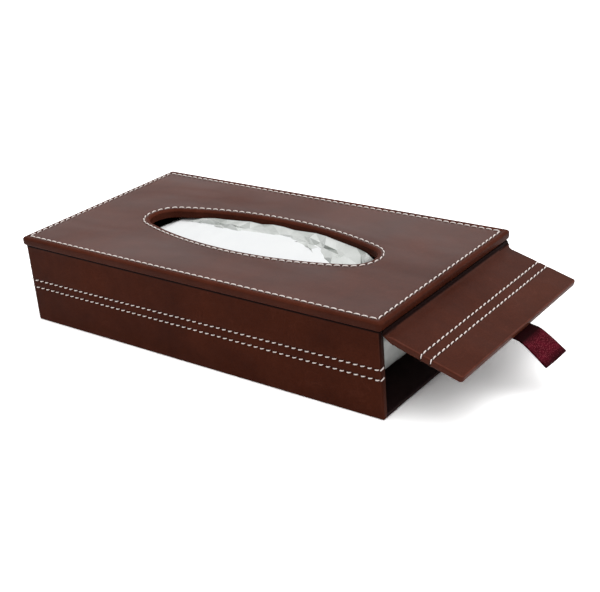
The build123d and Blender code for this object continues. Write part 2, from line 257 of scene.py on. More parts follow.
# Smooth dyed leather: faint clouds in the dye, a few fine scuffs and a pebbled grain. It is redder where an
# edge is rubbed; painted shade darkens it in stitch furrows and wherever its mesh marks shade, and its polish
# is hazed in slow streaks.
tree, given, out = start_group(
    "leather_grain",
    [
        ("Colour", "Color", (0.5, 0.5, 0.5, 1)),
        ("Rubbed", "Color", (0.6, 0.6, 0.6, 1)),
        ("Pits_And_Shade", "Color", (0.1, 0.1, 0.1, 1)),
        ("Wear", "Float", 0.0),
        ("Painted_Shade", "Float", 0.0),
    ],
    [("Colour", "Color"), ("Roughness", "Float"), ("Height", "Float"), ("Haze", "Float")],
)
place = object_place(tree)
cloud = noise_value(tree, place, 22.0, Detail=5.0, Roughness=0.6, Distortion=0.4)
blotch = noise_value(tree, place, 150.0, Detail=4.0, Roughness=0.6)
inputs = {"Vector": place, "Scale": 1300.0, "Smoothness": 0.6}
pebble = add_node(tree, "ShaderNodeTexVoronoi", inputs, feature="SMOOTH_F1").outputs["Distance"]
pore = noise_value(tree, place, 4200.0, Detail=2.0)
dark = mixed(tree, 1.0, given["Colour"], (0.74, 0.7, 0.7, 1), "MULTIPLY")
light = mixed(tree, 1.0, given["Colour"], (1.3, 1.34, 1.36, 1), "MULTIPLY")
clouded = mixed(tree, spread(tree, cloud, 0.3, 0.7), dark, light)
blotched = mixed(tree, spread(tree, blotch, 0.35, 0.75, 0.0, 0.09), clouded, given["Rubbed"])
rub = maths(tree, "MULTIPLY", given["Wear"], spread(tree, blotch, 0.3, 0.65, 0.35, 1.0))
rubbed = mixed(tree, rub, blotched, given["Rubbed"])
wander = noise_value(tree, place, 60.0, Detail=2.5, Roughness=0.45, Distortion=1.2)
line = maths(tree, "ABSOLUTE", maths(tree, "SUBTRACT", wander, 0.5))
here = spread(tree, cloud, 0.45, 0.6, 0.0, 0.12)
scuff = maths(tree, "MULTIPLY", spread(tree, line, 0.003, 0.012, 1.0, 0.0), here)
scuffed = mixed(tree, scuff, rubbed, given["Rubbed"])
grained = mixed(tree, spread(tree, pebble, 0.2, 0.8, 0.0, 0.18), scuffed, given["Pits_And_Shade"])
# painted shade: the leather is mixed towards the dark colour as far as its mesh marks shade
tree.links.new(mixed(tree, given["Painted_Shade"], grained, given["Pits_And_Shade"]), out["Colour"])
smoothed = maths(tree, "MULTIPLY", rub, -0.08)
rough = maths(tree, "ADD", spread(tree, cloud, 0.3, 0.7, 0.40, 0.52), smoothed)
tree.links.new(rough, out["Roughness"])
pits = maths(tree, "MULTIPLY", pore, 0.35)
grain = maths(tree, "ADD", maths(tree, "MULTIPLY", pebble, -0.8), pits)
tree.links.new(maths(tree, "SUBTRACT", grain, scuff), out["Height"])
streak = mapped(tree, place, Rotation=(0.0, 0.0, 0.5), Scale=(9.0, 26.0, 15.0))
haze = noise_value(tree, streak, 1.0, Detail=4.0, Distortion=0.5)
tree.links.new(spread(tree, haze, 0.3, 0.7, 0.65, 1.35), out["Haze"])
leather_grain = tree

oxblood_leather, tree = start_material("oxblood_leather")
inputs = {
    "Colour": (0.0705, 0.0152, 0.0064, 1),
    "Rubbed": (0.19, 0.055, 0.035, 1),
    "Pits_And_Shade": (0.009, 0.0025, 0.002, 1),
    "Wear": attribute(tree, "wear"),
    "Painted_Shade": attribute(tree, "painted_shade"),
}
skin = place_group(tree, leather_grain, inputs)
polish = maths(tree, "MULTIPLY", attribute(tree, "polish"), skin["Haze"])
close_material(
    tree, skin["Colour"], skin["Height"], bump=0.22, distance=0.00025, Roughness=skin["Roughness"],
    Specular_IOR_Level=0.02, Coat_Weight=polish, Coat_Roughness=0.42
)

# ---------------------------------------------------------------- felt, floor and catch plates
# The floor is a card glued between the walls, with thin dark cloth over it that turns down over its
# front edge. Two steel strips lie in the card for the flap's magnets, and felt is glued under it.

base_felt, tree = start_material("base_felt")
nap = noise_value(tree, object_place(tree), 1500.0, Detail=6.0, Roughness=0.8)
felted = mixed(tree, spread(tree, nap, 0.3, 0.7), (0.006, 0.005, 0.005, 1), (0.03, 0.026, 0.026, 1))
close_material(tree, felted, nap, bump=0.7, distance=0.0004, Roughness=0.95, Sheen_Weight=0.15)
dress("base_pad", base_felt)

grey_board, tree = start_material("grey_board")
fibre = noise_value(tree, object_place(tree), 900.0, Detail=5.0, Distortion=1.2)
pulp = mixed(tree, fibre, (0.17, 0.155, 0.135, 1), (0.33, 0.31, 0.28, 1))
close_material(tree, pulp, fibre, Roughness=0.9)
dress("floor_board", grey_board)

lining_cloth, tree = start_material("lining_cloth")
threads = {"Colour": (0.011, 0.0035, 0.0035, 1), "Crown": (0.034, 0.011, 0.011, 1), "Threads": 900.0}
cloth = place_group(tree, weave, threads)
close_material(
    tree, cloth["Colour"], cloth["Height"], bump=0.35, distance=0.0002, Roughness=0.8, Specular_IOR_Level=0.12
)
dress("floor_lining", lining_cloth)

steel, tree = start_material("steel")
drawn = mapped(tree, object_place(tree), Scale=(3000.0, 60.0, 300.0))
line = noise_value(tree, drawn, 1.0, Detail=3.0)
brushed = mixed(tree, line, (0.42, 0.42, 0.43, 1), (0.6, 0.6, 0.61, 1))
close_material(tree, brushed, line, bump=0.1, Roughness=spread(tree, line, 0.2, 0.8, 0.28, 0.45), Metallic=1.0)
dress("keeper_plates", steel)

# ---------------------------------------------------------------- walls
# Three grey boards stand round the floor. One strip of leather goes round them and folds over their
# top edges, under the floor and round their ends at the mouth. Dark cloth lines them inside.

for name in ("front_wall_board", "back_wall_board", "end_wall_board"):
    dress(name, grey_board)
dress("wall_lining", lining_cloth)

box_length, box_width, box_height = 240.0, 126.0, 52.0
panel_bottom = 46.9
cover_leather, wall_corner, skin_low = 0.6, 2.0, 0.2
wall_row_heights = (26.6, 21.2)
wall_pitch = 4.0
wall_end_x, wall_start_x = 119.4, -118.0
end_wall_reach = 61.0
steps_per_stitch = 4


def sag(point, size, depth, seed=0.0):
    """The slow rise and fall of a hand-covered board, in millimetres."""
    return depth * noise.noise(Vector((point[0] / size, point[1] / size, point[2] / size + seed)))


def row_drift(x, z, at_closed_end=1.1):
    """How far the upper stitch row has wandered down towards the closed end."""
    share = (wall_end_x - x) / (wall_end_x - wall_start_x)
    return at_closed_end * share * exp(-(((z - wall_row_heights[0]) / 3) ** 2))


def furrow(across, along, pitch, hollow=0.22, hole=0.34):
    """How far a stitch row draws the leather in, and how much painted shade it gets there."""
    along -= pitch * round(along / pitch)
    at_hole = exp(-((across / 0.5) ** 2) - (along / 0.55) ** 2)
    depth = hollow * exp(-((across / 0.75) ** 2)) + hole * at_hole
    return depth, 0.25 * exp(-((across / 0.6) ** 2)) + 0.75 * at_hole


# the painted shade over the upright leather, the height from which the gap under the panel is painted as a
# dark shadow line, and how far the closed end bulges for each millimetre of its rounding
wall_shade, groove_shadow_z, end_swell = 0.2, 46.0, 0.45
wall_stitches = round((wall_end_x - wall_start_x) / wall_pitch)
end_wall_stitches = round(2 * end_wall_reach / wall_pitch)
wall_mesh = bmesh.new()
wall_mesh.from_mesh(nodes["wall_leather"].data)
bmesh.ops.scale(wall_mesh, vec=(1 / MM, 1 / MM, 1 / MM), verts=wall_mesh.verts)
bmesh.ops.remove_doubles(wall_mesh, verts=wall_mesh.verts, dist=0.001)
bmesh.ops.dissolve_limit(wall_mesh, angle_limit=radians(0.5), verts=wall_mesh.verts, edges=wall_mesh.edges)
bmesh.ops.connect_verts_concave(wall_mesh, faces=wall_mesh.faces)


def outside(item):
    """Whether a face or edge is in the outer skin of the walls."""
    skin_depth, corner_depth = cover_leather + 0.02, wall_corner + 0.05
    return all(
        (abs(v.co.y) > box_width / 2 - skin_depth or v.co.x < -box_length / 2 + corner_depth)
        and (abs(v.co.y) > box_width / 2 - corner_depth or v.co.x < -box_length / 2 + skin_depth)
        and v.co.x < wall_end_x + 0.01 and skin_low - 0.01 < v.co.z < panel_bottom + 0.01
        for v in item.verts
    )


row_edges = (-1.5, -0.9, -0.5, -0.25, 0, 0.25, 0.5, 0.9, 1.5)
levels = [height + step for height in wall_row_heights for step in row_edges]
for height in sorted(levels + [5, 10, 15, 31, 35, 39, 43, 45.7, groove_shadow_z, 46.2]):
    skin = [face for face in wall_mesh.faces if outside(face)]
    cut = dict.fromkeys(skin + [e for f in skin for e in f.edges] + [v for f in skin for v in f.verts])
    bmesh.ops.bisect_plane(wall_mesh, geom=list(cut), dist=0.0005, plane_co=(0, 0, height), plane_no=(0, 0, 1))
for along, count in ((Vector((1, 0, 0)), wall_stitches), (Vector((0, 1, 0)), end_wall_stitches)):
    runs = [e for e in wall_mesh.edges if e.calc_length() > 100 and outside(e)]
    runs = [e for e in runs if abs((e.verts[1].co - e.verts[0].co).normalized().dot(along)) > 0.999]
    bmesh.ops.subdivide_edges(wall_mesh, edges=runs, cuts=count * steps_per_stitch - 1)


def leather_layers(mesh):
    """The layers that the leather's finish reads from its points."""
    return [mesh.verts.layers.float.new(name) for name in ("wear", "painted_shade", "polish")]


wear_layer, painted_shade_layer, polish_layer = leather_layers(wall_mesh)
wall_step = (wall_end_x - wall_start_x) / wall_stitches
end_wall_step = 2 * end_wall_reach / end_wall_stitches
for v in wall_mesh.verts:
    x, y, z = v.co
    at_side, at_end = abs(y) > box_width / 2 - 0.01, x < -box_length / 2 + 0.01
    edge_gap = min(z, panel_bottom - z, max(0, box_length / 2 - x))
    v[wear_layer] = 0.2 * exp(-((edge_gap / 0.9) ** 2))
    # painted shade: a dark shadow line in the gap under the panel, and the uprights a little darker all over
    v[painted_shade_layer], v[polish_layer] = 1.0 if z >= groove_shadow_z - 0.01 else wall_shade, 0.0
    if not (at_side or at_end) or not 1 < z < panel_bottom - 1 or x > wall_end_x + 0.01:
        continue
    row_gap = min((z - height for height in wall_row_heights), key=abs)
    along, pitch = (x - wall_start_x, wall_step) if at_side else (y + end_wall_reach, end_wall_step)
    # the stitch row draws the leather in, and painted shade darkens its furrow and holes
    drawn_in, shade_mark = furrow(row_gap, along, pitch)
    v[painted_shade_layer] = max(v[painted_shade_layer], shade_mark)
    inward = Vector((0, -1 if y > 0 else 1, 0)) if at_side else Vector((1, 0, 0))
    fade = min(1, edge_gap / 4)
    v.co += inward * (drawn_in + fade * (0.12 + sag(v.co, 34, 0.16) + sag(v.co, 11, 0.06, 7)))
    v.co.z -= row_drift(x, z)
for v in wall_mesh.verts:
    v.co.x -= end_swell * max(0, wall_start_x - v.co.x)
finish_piece(wall_mesh, "wall_covering", oxblood_leather, body="box", replaced=("wall_leather",))


def draw_out(mesh, row, places):
    """Extrudes a row of points to a new row in the given places. A row that closes repeats its first point."""
    edges = [mesh.edges.get((a, b)) for a, b in zip(row, row[1:])]
    made = bmesh.ops.extrude_edge_only(mesh, edges=edges)["geom"]
    new = {item for item in made if isinstance(item, bmesh.types.BMVert)}
    drawn = [next(e.other_vert(v) for e in v.link_edges if e.other_vert(v) in new) for v in row]
    for v, spot in zip(drawn, places):
        v.co = spot
    return drawn


# Waxed thread: a pale twisted cord. Each stitch rises out of its hole, lies on the leather a little
# aslant and goes down again. One stitch is made here, 1 long, and every row bends copies of it to place.
pale_thread, tree = start_material("pale_thread")
twist = mapped(tree, object_place(tree), Rotation=(0.5, 0.6, 0.8))
ply = wave_value(tree, twist, 900.0, Distortion=1.0, Detail=1.0)
strand = mixed(tree, ply, (0.9, 0.76, 0.7, 1), (0.98, 0.94, 0.91, 1))
close_material(tree, strand, ply, bump=0.3, distance=0.0001, Roughness=0.6)

stitch = bmesh.new()
bmesh.ops.create_circle(stitch, segments=6, radius=1, matrix=Matrix.Rotation(pi / 2, 4, "Y"))
ring = list(stitch.verts)
ring.append(ring[0])
end_radius, end_depth = 0.18, 0.5
stitch_stations = (
    (0.175, -0.02, 0.26), (0.29, 0.2, 0.32), (0.5, 0.27, 0.35), (0.71, 0.2, 0.32), (0.825, -0.02, 0.26),
    (0.845, -end_depth, end_radius),
)
for v in stitch.verts:
    v.co = Vector((0.155, v.co.y * end_radius, v.co.z * end_radius - end_depth))
unit = [(v.co.y / end_radius, (v.co.z + end_depth) / end_radius) for v in ring]
for along, rise, radius in stitch_stations:
    ring = draw_out(stitch, ring, [(along, y * radius, z * radius + rise) for y, z in unit])
bmesh.ops.holes_fill(stitch, edges=stitch.edges)
bmesh.ops.recalc_face_normals(stitch, faces=stitch.faces)
one_stitch = bpy.data.meshes.new("one_stitch")
stitch.to_mesh(one_stitch)
stitch.free()


def sew(mesh, line, holes, slant=0.22, lift=0.0, share=1.0):
    """Puts a stitch between each two holes. line(s) gives the point, the way along and the way out there."""
    for number, (start, end) in enumerate(zip(holes, holes[1:])):
        before = len(mesh.verts)
        mesh.from_mesh(one_stitch)
        mesh.verts.ensure_lookup_table()
        shake = 0.12 * noise.noise(Vector((start * 1.7, number * 0.37, 3.1)))
        for v in mesh.verts[before:]:
            along, across, up = v.co
            along = 0.5 + (along - 0.5) * share
            point, ahead, outward = line(start + (end - start) * along)
            across += slant * (2 * along - 1) + shake
            v.co = point + outward.cross(ahead) * across + outward * (up + lift)


def straight(start, end, outward):
    """A straight stitch line for sew."""
    start, end, outward = Vector(start), Vector(end), Vector(outward)
    ahead = (end - start).normalized()
    return lambda s: (start + ahead * s, ahead, outward)


def round_line(points, outwards):
    """A stitch line for sew along a run of points, each with its way out."""
    reach = [0.0]
    for a, b in zip(points, points[1:]):
        reach.append(reach[-1] + (b - a).length)

    def at(s):
        k = max(i for i in range(len(points) - 1) if reach[i] <= max(s, 0))
        share = (s - reach[k]) / (reach[k + 1] - reach[k])
        outward = outwards[k].lerp(outwards[k + 1], min(max(share, 0), 1)).normalized()
        ahead = (points[k + 1] - points[k]).normalized()
        ahead = (ahead - outward * ahead.dot(outward)).normalized()
        return points[k].lerp(points[k + 1], share), ahead, outward

    return at, reach[-1]


def arc_points(centre, radius, start, end, steps):
    """Points and ways out round an upright corner, from one angle to another in degrees."""
    turns = [radians(start + (end - start) * k / steps) for k in range(steps + 1)]
    ways = [Vector((cos(t), sin(t), 0)) for t in turns]
    return [centre + way * radius for way in ways], ways


# how far the stitches lie aslant, and how much of the gap between two holes they fill; the wraps at the
# mouth go in over the walls' ends by wrap_reach, and rise at each step on the way
wall_slant, end_wall_slant, wall_share = 0.34, 0.3, 0.8
wrap_reach, wrap_rise, wrap_share = 1.7, 0.22, 1.2
wall_threads = bmesh.new()
for height in wall_row_heights:
    for side in (-1, 1):
        wall_y = side * box_width / 2
        line = straight((wall_start_x, wall_y, height), (wall_end_x, wall_y, height), (0, side, 0))
        holes = [k * wall_step for k in range(wall_stitches + 1)]
        sew(wall_threads, line, holes, -side * wall_slant, share=wall_share)
        corner = Vector((wall_start_x, side * end_wall_reach, height))
        line, length = round_line(*arc_points(corner, wall_corner, side * 90, side * 180, 8))
        sew(wall_threads, line, [0, length])
        lip = Vector((wall_end_x, side * (box_width / 2 - cover_leather), height))
        points, ways = arc_points(lip, cover_leather, side * 90, 0, 5)
        points.append(points[-1] - Vector((0, side * wrap_reach, 0)))
        ways.append(ways[-1])
        for k, point in enumerate(points):
            point.z += wrap_rise * k
        line, length = round_line(points, ways)
        sew(wall_threads, line, [-0.4, length], 0.0, share=wrap_share)
    wall_x = -box_length / 2
    line = straight((wall_x, -end_wall_reach, height), (wall_x, end_wall_reach, height), (-1, 0, 0))
    holes = [k * end_wall_step for k in range(end_wall_stitches + 1)]
    sew(wall_threads, line, holes, end_wall_slant, share=wall_share)
for v in wall_threads.verts:
    v.co.z -= row_drift(v.co.x, v.co.z)
    v.co.x -= end_swell * max(0, wall_start_x - v.co.x)
finish_piece(wall_threads, "wall_stitching", pale_thread, body="box")

# ---------------------------------------------------------------- top panel
# A thick board with an oval cut out. Its leather is drawn over the edge all round and down through the
# oval, and sewn through 3.6 mm from both edges. The folded margins and a lining cover the underside.

dress("top_board", grey_board)
dress("top_lining", lining_cloth)

panel_half_length, panel_half_width, panel_corner, panel_round = 121.4, 64.4, 2.0, 1.7
panel_row_inset, tight_corner, top_pitch = 3.6, 0.5, 4.4
long_stitches, short_stitches, corner_steps = 54, 27, 2
oval_stitches = 82
opening_middle = Vector((1.0, -1.5, 0))
opening_half_length, opening_half_width, opening_end = 76.0, 23.0, 12.0
opening_roll, opening_sink, opening_lower_round, oval_row_margin = 1.8, 0.06, 0.6, 3.6
turn_in, oval_turn_in = 10.0, 8.0
top_z = box_height
edge_polish, top_polish, polish_drop = 0.04, 0.53, 0.04


def falls(gap, over):
    """1 well inside an edge and 0 at it."""
    share = min(1, max(0, gap / over))
    return share * share * (3 - 2 * share)


def far_row_drift(spot):
    """How much further in the row along the back is sewn than the other three."""
    if spot.z <= top_z - 1:
        return 0
    furthest, drawn_from, over, edge, edge_run = 1.3, 40, 18, 61.7, 0.9
    return furthest * falls(spot.y - drawn_from, over) * (1 - falls(spot.y - edge, edge_run))


def rectangle_ring(inset):
    """Points round the panel, inset from its edge: as many at every inset, and in the same order."""
    radius = max(panel_corner - inset, tight_corner)
    x, y = panel_half_length - inset - radius, panel_half_width - inset - radius
    corners = ((x, -y, -90), (x, y, 0), (-x, y, 90), (-x, -y, 180))
    ring = []
    for number, (cx, cy, turn) in enumerate(corners):
        for step in range(corner_steps):
            angle = radians(turn + 90 * step / corner_steps)
            ring.append(Vector((cx + radius * cos(angle), cy + radius * sin(angle), 0)))
        nx, ny = corners[(number + 1) % 4][:2]
        end = radians(turn + 90)
        edge = Vector((radius * cos(end), radius * sin(end), 0))
        count = (short_stitches if number % 2 == 0 else long_stitches) * steps_per_stitch
        ring += [Vector((cx, cy, 0)).lerp(Vector((nx, ny, 0)), k / count) + edge for k in range(count)]
    return ring


columns = len(rectangle_ring(0))

# the oval's tight end arcs and its long side arcs, which meet smoothly
opening_end_x = opening_half_length - opening_end
opening_side = opening_end_x**2 + opening_half_width**2 - opening_end**2
opening_side /= 2 * opening_half_width - 2 * opening_end
opening_side_y = opening_side - opening_half_width
opening_lean = atan2(opening_side_y, opening_end_x)
opening_arcs = (
    (opening_end_x, 0, opening_end, 0, opening_lean),
    (0, -opening_side_y, opening_side, opening_lean, pi - opening_lean),
    (-opening_end_x, 0, opening_end, pi - opening_lean, pi + opening_lean),
    (0, opening_side_y, opening_side, pi + opening_lean, 2 * pi - opening_lean),
    (opening_end_x, 0, opening_end, 2 * pi - opening_lean, 2 * pi),
)
oval_row_length = sum((arc[2] + oval_row_margin) * (arc[4] - arc[3]) for arc in opening_arcs)


def on_oval(share, margin):
    """A point margin outside the oval's edge, a share of the way round its stitch row, and the way out."""
    left = (share % 1) * oval_row_length
    for x, y, radius, start, end in opening_arcs:
        length = (radius + oval_row_margin) * (end - start)
        if left <= length:
            break
        left -= length
    angle = start + (end - start) * min(left / length, 1)
    way = Vector((cos(angle), sin(angle), 0))
    return opening_middle + Vector((x, y, 0)) + way * (radius + margin), way


def oval_ring(margin):
    """Points round the oval, matched to the points round the panel."""
    tip = corner_steps + short_stitches * steps_per_stitch / 2
    return [on_oval((k - tip) / columns, margin)[0] for k in range(columns)]


def clamped(value, reach):
    """A value kept within reach of 0."""
    return max(-reach, min(reach, value))


def panel_row(row, ring, z, wear=0.0, gap=None, per_stitch=steps_per_stitch, shift=0.0, loose=1.0, shade=0.25):
    """Draws the panel's leather on from row to ring. gap is how far a stitch row lies, if one is near."""
    spots, shade_marks = [], []
    for k, spot in enumerate(ring):
        down, shade_mark = 0.0, 0.0
        if gap is not None:
            down, shade_mark = furrow(gap, ((k + shift) / per_stitch) % 1 * top_pitch, top_pitch)
        if z > top_z - 0.01:
            down += loose * (0.1 + sag(spot, 45, 0.14) + sag(spot, 14, 0.05, 5))
        spots.append(Vector((spot.x, spot.y, z - down)))
        shade_marks.append(shade_mark)
    row = draw_out(top_mesh, row, spots + spots[:1])
    # painted shade on the rows below the top: the panel's rolled sides and the oval's inner wall
    below = z < top_z - 1
    on_edge = below or wear > 0.04
    for v, shade_mark in zip(row, shade_marks):
        v[wear_layer], v[painted_shade_layer] = wear, max(shade_mark, shade if below else 0)
        v[polish_layer] = edge_polish if on_edge else top_polish - polish_drop * v.co.x / panel_half_length
    return row


# from the folded margin on the underside, out and over the edge, across the top, into the oval and back
# to a margin under it
top_mesh = bmesh.new()
wear_layer, painted_shade_layer, polish_layer = leather_layers(top_mesh)
bmesh.ops.create_circle(top_mesh, segments=columns, radius=1)
row = list(top_mesh.verts)
for v, spot in zip(row, rectangle_ring(0)):
    x, y = clamped(spot.x, panel_half_length - turn_in), clamped(spot.y, panel_half_width - turn_in)
    v.co = Vector((x, y, panel_bottom))
row.append(row[0])
row = panel_row(row, rectangle_ring(panel_round), panel_bottom)
for turn in range(-75, 90, 15):
    lean = radians(turn)
    level = panel_bottom + panel_round if turn < 0 else top_z - panel_round
    ring = rectangle_ring(panel_round * (1 - cos(lean)))
    row = panel_row(row, ring, level + panel_round * sin(lean), wear=0.05 if turn > -60 else 0.2)
row = panel_row(row, rectangle_ring(panel_round), top_z, wear=0.1, loose=0.4)
field_gap, field_rows = 1.6, 9
for gap in (-0.8, -0.5, -0.25, 0, 0.25, 0.5, 0.9, field_gap):
    ring, worn = rectangle_ring(panel_row_inset + gap), 0.05 * exp(-((gap + 0.8) ** 2))
    row = panel_row(row, ring, top_z, wear=worn, gap=gap, shift=-corner_steps)
outer, inner = rectangle_ring(panel_row_inset + field_gap), oval_ring(oval_row_margin + field_gap)
for k in range(1, field_rows + 1):
    share = k / (field_rows + 1)
    row = panel_row(row, [a.lerp(b, share) for a, b in zip(outer, inner)], top_z)
oval_steps = columns // oval_stitches
tip_shift = -(corner_steps + short_stitches * steps_per_stitch // 2)
for gap in (field_gap, 0.9, 0.5, 0.25, 0, -0.25, -0.5, -0.9):
    ring = oval_ring(oval_row_margin + gap)
    row = panel_row(row, ring, top_z, gap=gap, per_stitch=oval_steps, shift=tip_shift, loose=0.7)
for turn in range(0, 91, 15):
    lean = radians(turn)
    ring = oval_ring(opening_roll * (1 - sin(lean)))
    level = top_z - opening_sink - opening_roll * (1 - cos(lean))
    row = panel_row(row, ring, level, wear=0.06 + 0.05 * sin(2 * lean), shade=0.4)
for turn in range(0, 91, 30):
    lean = radians(turn)
    level = panel_bottom + opening_lower_round * (1 - sin(lean))
    row = panel_row(row, oval_ring(opening_lower_round * (1 - cos(lean))), level, wear=0.1)
panel_row(row, oval_ring(oval_turn_in), panel_bottom)
bmesh.ops.remove_doubles(top_mesh, verts=top_mesh.verts, dist=0.0005)
bmesh.ops.recalc_face_normals(top_mesh, faces=top_mesh.faces)
for v in top_mesh.verts:
    v.co.y -= far_row_drift(v.co)
top_covering = finish_piece(
    top_mesh, "top_covering", oxblood_leather, body="box", replaced=("top_leather",)
)


def thicken(piece, name, thickness, offset):
    """Gives a piece made as a skin its thickness, in millimetres."""
    added = piece.modifiers.new(name, "SOLIDIFY")
    added.thickness = thickness * MM
    added.offset = offset


thicken(top_covering, "leather_thickness", cover_leather, -1)

top_threads = bmesh.new()
row_x, row_y = panel_half_length - panel_row_inset, panel_half_width - panel_row_inset
row_corners = [(row_x, -row_y), (row_x, row_y), (-row_x, row_y), (-row_x, -row_y)]
row_corners = [Vector((x, y, top_z)) for x, y in row_corners]
thread_sink, corner_hole = -0.12, 0.15
for number, corner in enumerate(row_corners):
    following = row_corners[(number + 1) % 4]
    reach = (following - corner).length
    count = short_stitches if number % 2 == 0 else long_stitches
    pitch = (reach - 2 * tight_corner) / count
    holes = [tight_corner + k * pitch for k in range(count + 1)]
    holes[0], holes[-1] = corner_hole, reach - corner_hole
    sew(top_threads, straight(corner, following, (0, 0, 1)), holes, lift=thread_sink, share=1.1)


def oval_line(s):
    """The stitch line round the oval, for sew."""
    point, way = on_oval(s / oval_row_length, oval_row_margin)
    return point + Vector((0, 0, top_z)), Vector((-way.y, way.x, 0)), Vector((0, 0, 1))


holes = [k * oval_row_length / oval_stitches for k in range(oval_stitches + 1)]
sew(top_threads, oval_line, holes, lift=thread_sink, share=1.05)
for v in top_threads.verts:
    v.co.y -= far_row_drift(v.co)
finish_piece(top_threads, "top_stitching", pale_thread, body="box")

# ---------------------------------------------------------------- flap and its leather hinge
# The flap is a thin board with two magnets in its outer edge. One piece of leather is glued under the
# top panel, drops over the mouth as a soft hinge and covers the flap, folded round its three free edges.

dress("flap_board", grey_board)
dress("flap_lining", lining_cloth)
magnet, tree = start_material("magnet")
cast = noise_value(tree, object_place(tree), 1200.0, Detail=4.0)
sintered = mixed(tree, cast, (0.035, 0.035, 0.038, 1), (0.09, 0.09, 0.095, 1))
close_material(tree, sintered, cast, bump=0.4, Roughness=0.55, Metallic=0.8)
dress("flap_magnets", magnet)

flap_fall = radians(16.3)
flap_ahead = Vector((cos(flap_fall), 0, -sin(flap_fall)))
flap_out = Vector((sin(flap_fall), 0, cos(flap_fall)))
flap_start = Vector((120.748, 0, 44.302))
flap_reach, flap_half_width, flap_thickness = 42.0, 59.8, 3.6
flap_corner, flap_round = 1.7, 0.9
flap_rows_along, flap_pitch = (19.93, 25.16), 4.0
hinge_free, fold_end = 6.5, 1.5
hinge_shoulder, hinge_fold, hinge_flare = 1.4, 1.6, 2.0
shoulder_centre = Vector((119.64, 0, 45.5))
fold_centre = Vector((122.64, 0, 45.415))


def on_flap(along, across, depth=0.0):
    """A point on the flap: along it from the hinge, across it, and this far under its face."""
    return flap_start + flap_ahead * along + Vector((0, across, 0)) - flap_out * depth


# the face's rows, each with its way out and its place along the flap: under the panel and over the
# shoulder, where that place is a mark below 0, through the fold, and then down the flap
under_panel, on_shoulder = -3.0, -2.0
strip = [(Vector((x, 0, panel_bottom)), Vector((0, 0, 1)), under_panel) for x in (110.0, 113.0, 116.0, 118.2)]
for step in range(7):
    lean = pi / 2 * step / 6
    way = Vector((sin(lean), 0, cos(lean)))
    strip.append((shoulder_centre + way * hinge_shoulder, way, on_shoulder))
for step in range(8):
    lean = pi - (pi / 2 - flap_fall) * step / 7
    way = Vector((-cos(lean), 0, sin(lean)))
    along = fold_end + hinge_fold * (pi / 2 - flap_fall) * (step / 7 - 1)
    strip.append((fold_centre - way * hinge_fold, way, along))
flap_field = [2.4, 3.6, 5.0, 6.5, 7.6, 9, 11, 13, 15, 17]
for row in flap_rows_along:
    flap_field += [row + gap for gap in row_edges]
corner_start, inner_corner = flap_reach - flap_corner, flap_corner - flap_round
flap_field += [28.5, 30.5, 32.5, 34.5, 36.5, corner_start - 0.6]
flap_field += [corner_start + inner_corner * sin(radians(turn)) for turn in (0, 22, 45, 67, 90)]
for along in sorted(flap_field):
    strip.append((on_flap(along, 0), flap_out, along))

flap_stitches = round(2 * (flap_half_width - flap_round) / flap_pitch)
flap_step = 2 * (flap_half_width - flap_round) / flap_stitches
flap_columns = flap_stitches * steps_per_stitch
flap_mesh = bmesh.new()
wear_layer, painted_shade_layer, polish_layer = leather_layers(flap_mesh)
# painted shade that darkens all of the flap's face a little
flap_shade = 0.16


def half_width_at(along):
    """Half the width of the flap's flat face, which narrows in the rounding of its outer corners."""
    past = max(0.0, along - corner_start)
    return flap_half_width - flap_round - inner_corner + sqrt(max(0.0, inner_corner**2 - past**2))


def flap_spot(row, column):
    """A point of the flat face, drawn in by the stitch rows, with its painted shade mark."""
    point, way, along = strip[row]
    flare = min(1, max(0, point.x - wall_end_x - 0.6) / 0.8) * min(1, max(0, (3 - along) / 2.5))
    half = half_width_at(along) + hinge_flare * flare
    across = -half + 2 * half * column / flap_columns
    down, shade_mark = 0.0, 0.0
    if along > hinge_free:
        gap = min((along - line for line in flap_rows_along), key=abs)
        down, shade_mark = furrow(gap, across + flap_half_width - flap_round, flap_step)
        down += 0.1 + sag((point.x, across, point.z), 30, 0.22, 2) + sag((point.x, across, point.z), 9, 0.08, 9)
    elif along > 2:
        down += 0.1 + sag((point.x * 2, across, point.z), 16, 0.25, 4)
    # painted shadow in the hinge's groove, under the panel's edge
    if along < fold_end:
        shade_mark = min(1, max(0, (0.7 - along) / 0.8))
    return point + Vector((0, across, 0)) - way * down, shade_mark


bmesh.ops.create_grid(flap_mesh, x_segments=flap_columns, y_segments=len(strip) - 1, size=1)
flap_mesh.verts.ensure_lookup_table()
ordered = sorted(flap_mesh.verts, key=lambda v: (round(v.co.y, 5), v.co.x))
face_rows = [ordered[k * (flap_columns + 1):(k + 1) * (flap_columns + 1)] for k in range(len(strip))]
for number, row in enumerate(face_rows):
    for column, v in enumerate(row):
        v.co, shade_mark = flap_spot(number, column)
        v[painted_shade_layer] = max(flap_shade, shade_mark)


def rim_side(column, side):
    """The rim's points down one side of the strip, each with its way out of the flap and its row."""
    found = []
    for number, row in enumerate(face_rows[:-1]):
        lean = asin(min(1, max(0.0, strip[number][2] - corner_start) / inner_corner))
        found.append((row[column], flap_ahead * sin(lean) + Vector((0, side * cos(lean), 0)), number))
    return found


# down one side, along the outer edge and back up the other side
rim = rim_side(0, -1) + [(v, flap_ahead, len(strip) - 1) for v in face_rows[-1]] + rim_side(-1, 1)[::-1]


def curl(number):
    """0 in the flat hinge and 1 where the leather is folded round the board."""
    curl_start, curl_run = -0.4, 4.4
    return falls(strip[number][2] - curl_start, curl_run)


